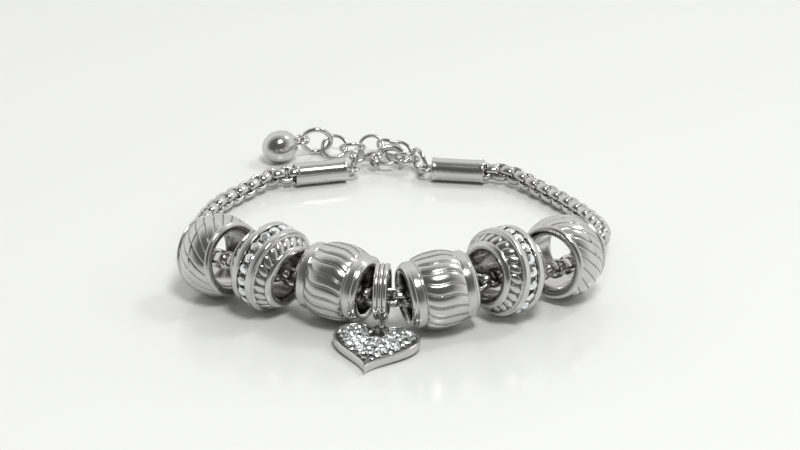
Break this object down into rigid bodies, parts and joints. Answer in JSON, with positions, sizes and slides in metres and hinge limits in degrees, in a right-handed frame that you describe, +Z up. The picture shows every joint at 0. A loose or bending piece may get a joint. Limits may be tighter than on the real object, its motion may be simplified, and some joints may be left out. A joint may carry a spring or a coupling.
{
  "type": "charm bracelet",
  "caption": "Closed chain bracelet with large-bore charm beads, a stone-set heart on a ribbed hanger, a lobster clasp and a short extender ending in a drop.",
  "frame": {"origin": "middle of the foot of the bounding box, on the surface that the bracelet lies on", "axes": "+Z up, the beads and the heart towards -Y, the clasp towards +Y"},
  "size_m": [0.0612, 0.0702, 0.0126],
  "materials": {
    "polished_steel": "polished stainless steel",
    "steel_with_stones": "polished stainless steel set with clear cut stones"
  },
  "bodies": {
    "bracelet": {"chain": "polished_steel", "clasp_body": "polished_steel", "clasp_pin": "polished_steel", "crystal_bead_left": "steel_with_stones", "crystal_bead_right": "steel_with_stones", "drop_charm": "polished_steel", "end_cap_left": "polished_steel", "end_cap_right": "polished_steel", "extender_link_1": "polished_steel", "extender_link_2": "polished_steel", "extender_link_3": "polished_steel", "extender_link_4": "polished_steel", "extender_link_5": "polished_steel", "extender_link_6": "polished_steel", "extender_ring": "polished_steel", "hanger": "polished_steel", "heart_pendant": "steel_with_stones", "jump_ring_left": "polished_steel", "jump_ring_right": "polished_steel", "leaf_bead_left": "polished_steel", "leaf_bead_right": "polished_steel", "wave_bead_left": "polished_steel", "wave_bead_right": "polished_steel"},
    "lever": {"clasp_lever": "polished_steel"}
  },
  "joints": [
    {"name": "lever_hinge", "type": "hinge", "parent": "bracelet", "child": "lever", "pos_m": [-0.0034, 0.02798, 0.00182], "axis": [-0.0187, -0.5102, 0.8599], "range_deg": [0, 12], "stiffness_Nm_per_rad": 0.002, "springref_deg": -17.19}
  ]
}
